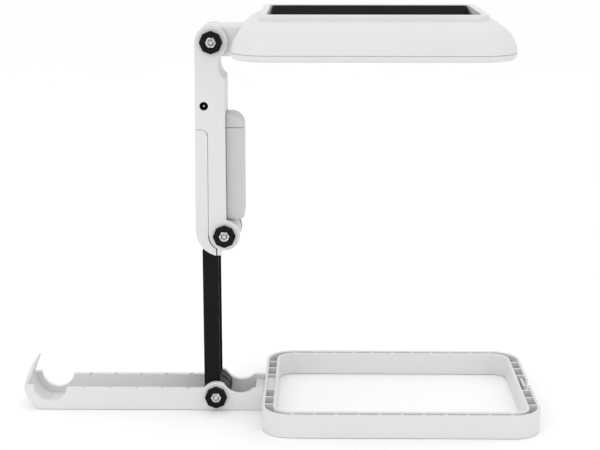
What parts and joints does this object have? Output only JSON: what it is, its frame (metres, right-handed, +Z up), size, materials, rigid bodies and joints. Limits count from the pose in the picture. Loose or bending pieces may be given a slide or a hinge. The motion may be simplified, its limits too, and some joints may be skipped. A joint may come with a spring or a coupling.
{
  "type": "folding stand video magnifier",
  "caption": "Folding stand video magnifier: ring and channel base, folding black and white arms, domed head with a recessed screen.",
  "frame": {"origin": "middle of the stand's footprint, on the table", "axes": "+X from the channel's scoop to the ring, +Y away from the front, +Z up"},
  "size_m": [0.3942, 0.155, 0.3074],
  "materials": {
    "white_plastic": "fine satin moulding texture",
    "base_plastic": "satin moulded, slightly greyer white",
    "grey_plastic": "satin light grey",
    "black_plastic": "semi-matte black",
    "gloss_black": "polished black",
    "dark_glass": "polished dark glass",
    "steel": "zinc plated",
    "circuit_board": "solder mask",
    "diffuser": "milky",
    "cell_wrap": "shrink wrap"
  },
  "bodies": {
    "base": {"base_channel": "base_plastic", "base_ring": "base_plastic", "ring_screw_1": "steel", "ring_screw_2": "steel", "base_hinge_cap_front": "black_plastic", "base_hinge_cap_rear": "black_plastic", "base_hinge_nut": "steel", "base_hinge_bolt": "steel", "base_hinge_washer_front": "black_plastic", "base_hinge_washer_rear": "black_plastic"},
    "lower_arm": {"lower_arm": "black_plastic"},
    "upper_arm": {"arm_body": "white_plastic", "elbow_barrel": "grey_plastic", "battery_box": "grey_plastic", "battery_box_cap": "grey_plastic", "battery_cell": "cell_wrap", "battery_contact_low": "steel", "battery_contact_high": "steel", "charge_board": "circuit_board", "power_inlet": "black_plastic", "power_inlet_pin": "steel", "head_hinge_sleeve": "steel", "elbow_cap_front": "black_plastic", "elbow_cap_rear": "black_plastic", "elbow_nut": "steel", "elbow_bolt": "steel", "elbow_washer_front": "black_plastic", "elbow_washer_rear": "black_plastic", "head_hinge_cap_front": "black_plastic", "head_hinge_cap_rear": "black_plastic", "head_hinge_nut": "steel", "head_hinge_bolt": "steel", "head_hinge_washer_front": "black_plastic", "head_hinge_washer_rear": "black_plastic"},
    "side_cover": {"arm_cover": "white_plastic"},
    "head": {"neck": "white_plastic", "head_shell": "white_plastic", "head_base": "white_plastic", "screen_bezel": "gloss_black", "screen_glass": "dark_glass", "display_panel": "black_plastic", "main_board": "circuit_board", "camera_barrel": "black_plastic", "camera_lens": "dark_glass", "light_board_left": "circuit_board", "light_board_right": "circuit_board", "light_diffuser_left": "diffuser", "light_diffuser_right": "diffuser", "head_screw_1": "steel", "head_screw_2": "steel", "head_screw_3": "steel", "head_screw_4": "steel"},
    "power_key": {"power_button": "grey_plastic"},
    "zoom_in_key": {"zoom_in_button": "grey_plastic"},
    "zoom_out_key": {"zoom_out_button": "grey_plastic"}
  },
  "joints": [
    {"name": "stand_fold", "type": "hinge", "parent": "base", "child": "lower_arm", "pos_m": [-0.0479, 0, 0.0112], "axis": [0, -1, 0], "range_deg": [0, 90]},
    {"name": "elbow_fold", "type": "hinge", "parent": "lower_arm", "child": "upper_arm", "pos_m": [-0.04, 0, 0.1392], "axis": [0, -1, 0], "range_deg": [-180, 0]},
    {"name": "head_fold", "type": "hinge", "parent": "upper_arm", "child": "head", "pos_m": [-0.0482, 0, 0.2848], "axis": [0, -1, 0], "range_deg": [0, 90]},
    {"name": "cover_slide", "type": "slide", "parent": "upper_arm", "child": "side_cover", "axis": [-1, 0, 0], "range_m": [0, 0.012]},
    {"name": "power_press", "type": "slide", "parent": "head", "child": "power_key", "axis": [-1, 0, 0], "range_m": [0, 0.001], "stiffness_N_per_m": 400},
    {"name": "zoom_in_press", "type": "slide", "parent": "head", "child": "zoom_in_key", "axis": [-1, 0, 0], "range_m": [0, 0.001], "stiffness_N_per_m": 400},
    {"name": "zoom_out_press", "type": "slide", "parent": "head", "child": "zoom_out_key", "axis": [-1, 0, 0], "range_m": [0, 0.001], "stiffness_N_per_m": 400}
  ],
  "couplings": [
    {"joint": "elbow_fold", "follows": "stand_fold", "ratio": -2},
    {"joint": "head_fold", "follows": "stand_fold", "ratio": 1}
  ]
}
